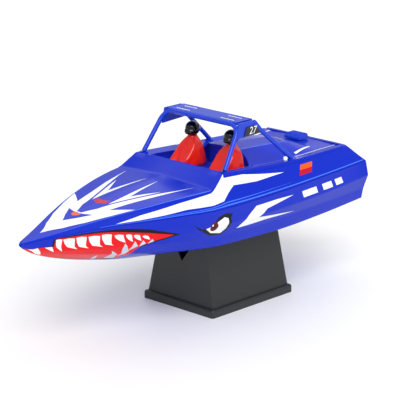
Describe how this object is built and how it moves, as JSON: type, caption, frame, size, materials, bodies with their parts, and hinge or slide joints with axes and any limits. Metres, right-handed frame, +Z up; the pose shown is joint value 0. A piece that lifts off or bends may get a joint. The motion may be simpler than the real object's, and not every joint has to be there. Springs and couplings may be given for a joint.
{
  "type": "rc boat",
  "caption": "Model jet sprint boat with open roll cage, helmeted drivers, jet drive with steering nozzle and lift-off canopy, on a moulded display stand.",
  "frame": {"origin": "on the floor, under the middle of the whole object's length", "axes": "+X towards the bow, +Y to port and the plane of symmetry's normal, +Z up"},
  "size_m": [0.246, 0.0756, 0.1055],
  "materials": {
    "stand_plastic": "fine moulded grain",
    "hull_paint": "high gloss blue with white, red and black flashes",
    "blue_plastic": "high gloss",
    "black_plastic": "satin",
    "suit_red": "glossy painted",
    "helmet_black": "high gloss",
    "visor": "mirror gloss",
    "foam": "closed-cell foam",
    "foam_white": "expanded foam",
    "steel": "zinc plated",
    "brass": "sintered bronze",
    "motor_steel": "rolled can",
    "servo_plastic": "tinted case",
    "rubber": "moulded",
    "unit_case": "satin",
    "battery_wrap": "shrink wrap",
    "strap_fabric": "woven hook and loop",
    "lead_red": "silicone insulation",
    "lead_black": "silicone insulation",
    "plug_red": "nylon",
    "tube_plastic": "clear tube, frosted",
    "aluminium": "turned",
    "horn_white": "nylon"
  },
  "bodies": {
    "stand": {"stand": "stand_plastic"},
    "boat": {"hull": "hull_paint", "deck": "hull_paint", "hatch_seal": "foam", "jet_housing": "black_plastic", "stator_outlet": "black_plastic", "transom_flange": "black_plastic", "flange_screws": "steel", "intake_grate": "steel", "front_bushing": "brass", "rear_bushing": "brass", "motor_can": "motor_steel", "motor_end_cap": "black_plastic", "motor_mount": "black_plastic", "motor_screws": "steel", "servo_case": "servo_plastic", "servo_mount": "black_plastic", "servo_mount_screws": "steel", "pushrod_boot": "rubber", "nozzle_pivot_screws": "steel", "speed_unit": "unit_case", "speed_unit_pad": "foam", "battery": "battery_wrap", "battery_tray": "black_plastic", "battery_strap": "strap_fabric", "battery_lead": "lead_red", "battery_plug": "plug_red", "motor_leads": "lead_black", "bow_float": "foam_white", "aerial_tube": "tube_plastic"},
    "canopy": {"canopy": "hull_paint", "cage_hoop": "blue_plastic", "roof_panel": "blue_plastic", "rear_stays": "blue_plastic", "cage_gussets": "blue_plastic", "number_plates": "black_plastic", "cage_feet": "blue_plastic", "port_driver_suit": "suit_red", "port_driver_helmet": "helmet_black", "port_helmet_visor": "visor", "starboard_driver_suit": "suit_red", "starboard_driver_helmet": "helmet_black", "starboard_helmet_visor": "visor"},
    "latch": {"hatch_latch": "blue_plastic"},
    "driveline": {"drive_shaft": "steel", "impeller": "black_plastic", "shaft_coupler": "aluminium", "coupler_grub_screws": "steel", "motor_shaft": "steel"},
    "horn": {"servo_horn": "horn_white", "horn_screw": "steel"},
    "pushrod": {"pushrod": "steel"},
    "nozzle": {"steering_nozzle": "black_plastic"},
    "drain_plug": {"drain_plug": "rubber"}
  },
  "joints": [
    {"name": "boat_lift", "type": "slide", "parent": "stand", "child": "boat", "axis": [0, 0, 1], "range_m": [0, 0.12]},
    {"name": "canopy_lift", "type": "slide", "parent": "boat", "child": "canopy", "axis": [0, 0, 1], "range_m": [0, 0.06]},
    {"name": "latch_slide", "type": "slide", "parent": "canopy", "child": "latch", "axis": [1, 0, 0], "range_m": [0, 0.0022]},
    {"name": "impeller_spin", "type": "hinge", "parent": "boat", "child": "driveline", "pos_m": [-0.094, 0, 0.05], "axis": [1, 0, 0], "continuous": true},
    {"name": "servo_turn", "type": "hinge", "parent": "boat", "child": "horn", "pos_m": [-0.053, -0.016, 0.06], "axis": [0, 0, 1], "range_deg": [-25.5, 25.5]},
    {"name": "pushrod_slide", "type": "slide", "parent": "boat", "child": "pushrod", "axis": [1, 0, 0], "range_m": [-0.00349, 0.00349]},
    {"name": "nozzle_swing", "type": "hinge", "parent": "boat", "child": "nozzle", "pos_m": [-0.1145, 0, 0.05], "axis": [0, 0, 1], "range_deg": [-25.5, 25.5]},
    {"name": "drain_plug_pull", "type": "slide", "parent": "boat", "child": "drain_plug", "axis": [-1, 0, 0], "range_m": [0, 0.02]}
  ],
  "couplings": [
    {"joint": "servo_turn", "follows": "pushrod_slide", "rad_per_m": -125},
    {"joint": "nozzle_swing", "follows": "pushrod_slide", "rad_per_m": 125}
  ]
}
